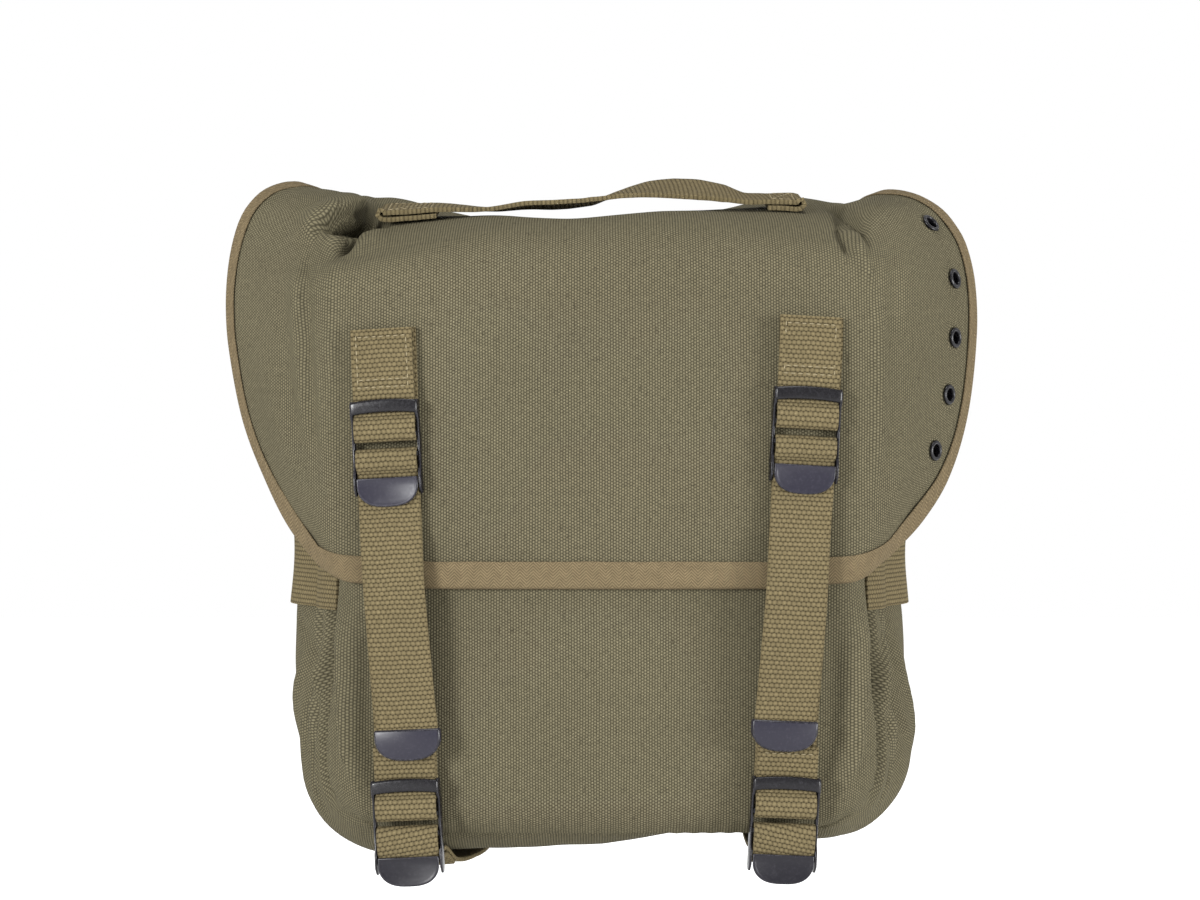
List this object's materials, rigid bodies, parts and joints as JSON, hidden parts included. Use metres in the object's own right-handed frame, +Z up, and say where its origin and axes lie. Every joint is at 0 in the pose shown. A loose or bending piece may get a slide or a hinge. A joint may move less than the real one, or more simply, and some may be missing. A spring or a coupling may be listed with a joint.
{
  "type": "belt bag",
  "caption": "Stuffed canvas field bag for a belt: wide winged flap, strap-and-buckle closures, webbing handle on the lid, belt loops behind.",
  "frame": {"origin": "middle of the belt's channel, in the plane of the back panel, midway between the two belt loops", "axes": "+X to the right in the front view, +Y out of the back towards the wearer, +Z up"},
  "size_m": [0.3162, 0.1415, 0.2885],
  "materials": {
    "canvas": "matt olive-drab cotton duck",
    "webbing": "matt khaki cotton webbing",
    "binding_tape": "matt khaki herringbone tape",
    "black_enamelled_steel": "worn semi-gloss black enamel"
  },
  "bodies": {
    "root": {"back_panel": "canvas", "belt_loop_left": "webbing", "belt_loop_right": "webbing", "closure_buckle_left": "black_enamelled_steel", "closure_buckle_right": "black_enamelled_steel", "closure_strap_left": "webbing", "closure_strap_right": "webbing", "eyelet_1": "black_enamelled_steel", "eyelet_2": "black_enamelled_steel", "eyelet_3": "black_enamelled_steel", "eyelet_4": "black_enamelled_steel", "eyelet_5": "black_enamelled_steel", "flap": "canvas", "flap_binding": "binding_tape", "flap_tab_left": "webbing", "flap_tab_right": "webbing", "front_panel": "canvas", "gusset": "canvas", "handle": "webbing", "lower_buckle_left": "black_enamelled_steel", "lower_buckle_right": "black_enamelled_steel", "lower_strap_left": "webbing", "lower_strap_right": "webbing", "lower_tab_left": "webbing", "lower_tab_right": "webbing", "side_webbing_left": "webbing", "side_webbing_right": "webbing", "strap_tip_left": "black_enamelled_steel", "strap_tip_right": "black_enamelled_steel"}
  },
  "joints": []
}
